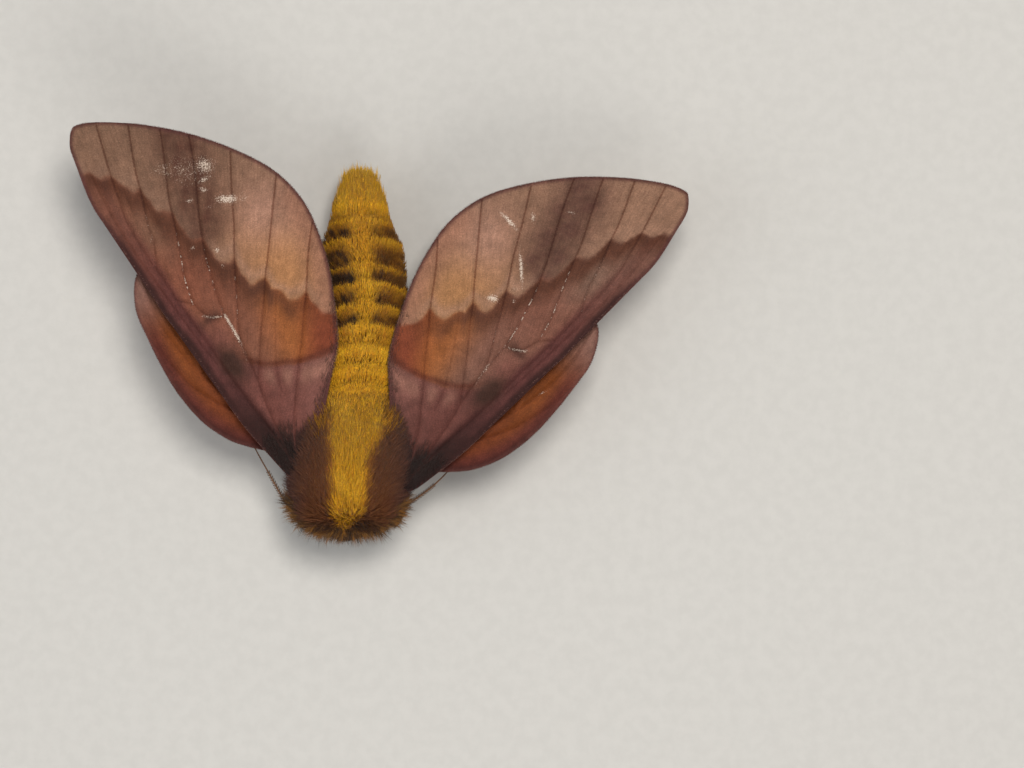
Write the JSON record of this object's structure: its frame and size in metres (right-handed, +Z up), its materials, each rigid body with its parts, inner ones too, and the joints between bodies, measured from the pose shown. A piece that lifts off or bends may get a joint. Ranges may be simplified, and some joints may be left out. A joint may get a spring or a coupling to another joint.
{
  "type": "moth",
  "caption": "Life-size still model of a small lilac and yellow moth at rest on its legs, wings half open in a V, with a furry body and bowed-back feelers.",
  "frame": {"origin": "middle of the base: under the centre of the bounding box, on the surface that the feet and abdomen rest on", "axes": "+Z up, head towards -Y and tip of the abdomen towards +Y, the moth's own right wing towards -X; +X is the longest extent, across the wings"},
  "size_m": [0.0523, 0.0362, 0.0117],
  "materials": {
    "abdomen": "golden yellow hair with dark brown side bands",
    "antenna_left": "ochre comb-toothed shaft",
    "antenna_right": "ochre comb-toothed shaft",
    "eye_left": "smooth dark facetted eye",
    "eye_right": "smooth dark facetted eye",
    "forewing_left": "matt lilac and orange-brown scales",
    "forewing_right": "matt lilac and orange-brown scales",
    "head": "short brown hair",
    "hindwing_left": "matt orange and pink scales",
    "hindwing_right": "matt orange and pink scales",
    "leg_front_left": "short pink-brown hair",
    "leg_front_right": "short pink-brown hair",
    "leg_hind_left": "short pink-brown hair",
    "leg_hind_right": "short pink-brown hair",
    "leg_middle_left": "short pink-brown hair",
    "leg_middle_right": "short pink-brown hair",
    "palp_left": "short pinkish hair",
    "palp_right": "short pinkish hair",
    "thorax": "ochre and yellow hair"
  },
  "bodies": {
    "root": {"abdomen": "abdomen", "antenna_left": "antenna_left", "antenna_right": "antenna_right", "eye_left": "eye_left", "eye_right": "eye_right", "forewing_left": "forewing_left", "forewing_right": "forewing_right", "head": "head", "hindwing_left": "hindwing_left", "hindwing_right": "hindwing_right", "leg_front_left": "leg_front_left", "leg_front_right": "leg_front_right", "leg_hind_left": "leg_hind_left", "leg_hind_right": "leg_hind_right", "leg_middle_left": "leg_middle_left", "leg_middle_right": "leg_middle_right", "palp_left": "palp_left", "palp_right": "palp_right", "thorax": "thorax"}
  },
  "joints": []
}
